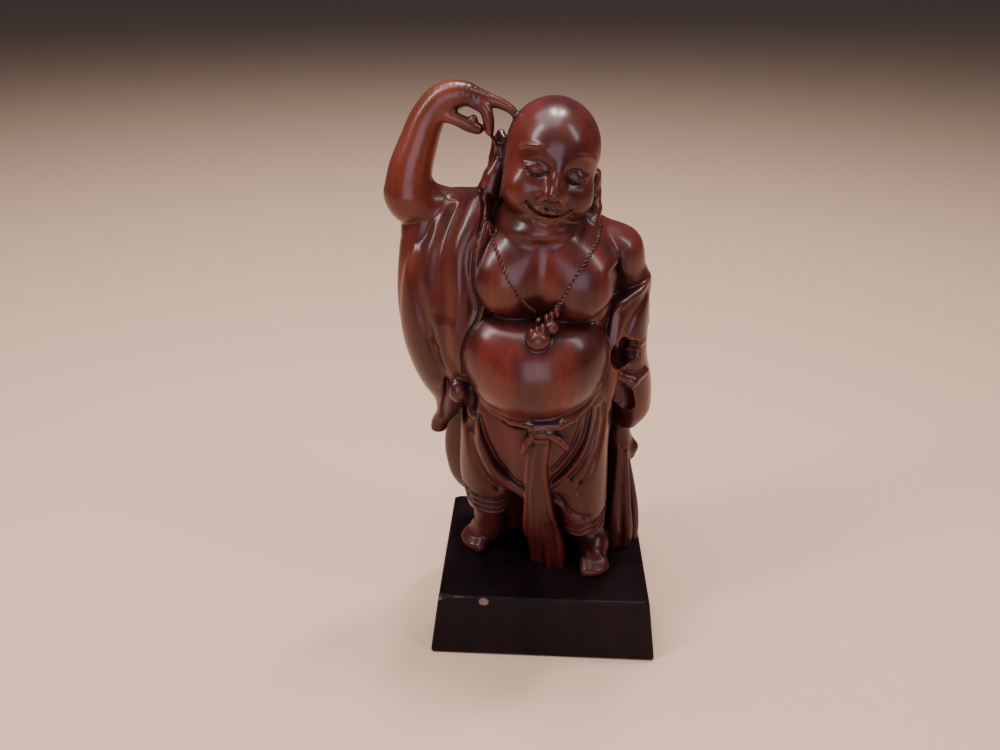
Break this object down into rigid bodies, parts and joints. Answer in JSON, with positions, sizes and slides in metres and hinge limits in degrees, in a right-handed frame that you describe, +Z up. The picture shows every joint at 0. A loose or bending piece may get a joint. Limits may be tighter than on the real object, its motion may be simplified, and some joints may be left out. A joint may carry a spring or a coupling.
{
  "type": "buddha statuette",
  "caption": "Carved wooden statuette of a laughing, round-bellied Buddha in an open robe, one arm raised to the ear, on a black block plinth.",
  "frame": {"origin": "middle of the plinth's underside", "axes": "+Z up along the height, the figure looks along -Y, +X on the figure's left hand"},
  "size_m": [0.0991, 0.0702, 0.2072],
  "materials": {
    "carved_wood": "glossy red-brown lacquer, darker in the recesses",
    "black_wood": "satin black paint, worn at the edges"
  },
  "bodies": {
    "root": {"plinth": "black_wood", "figure": "carved_wood"}
  },
  "joints": []
}
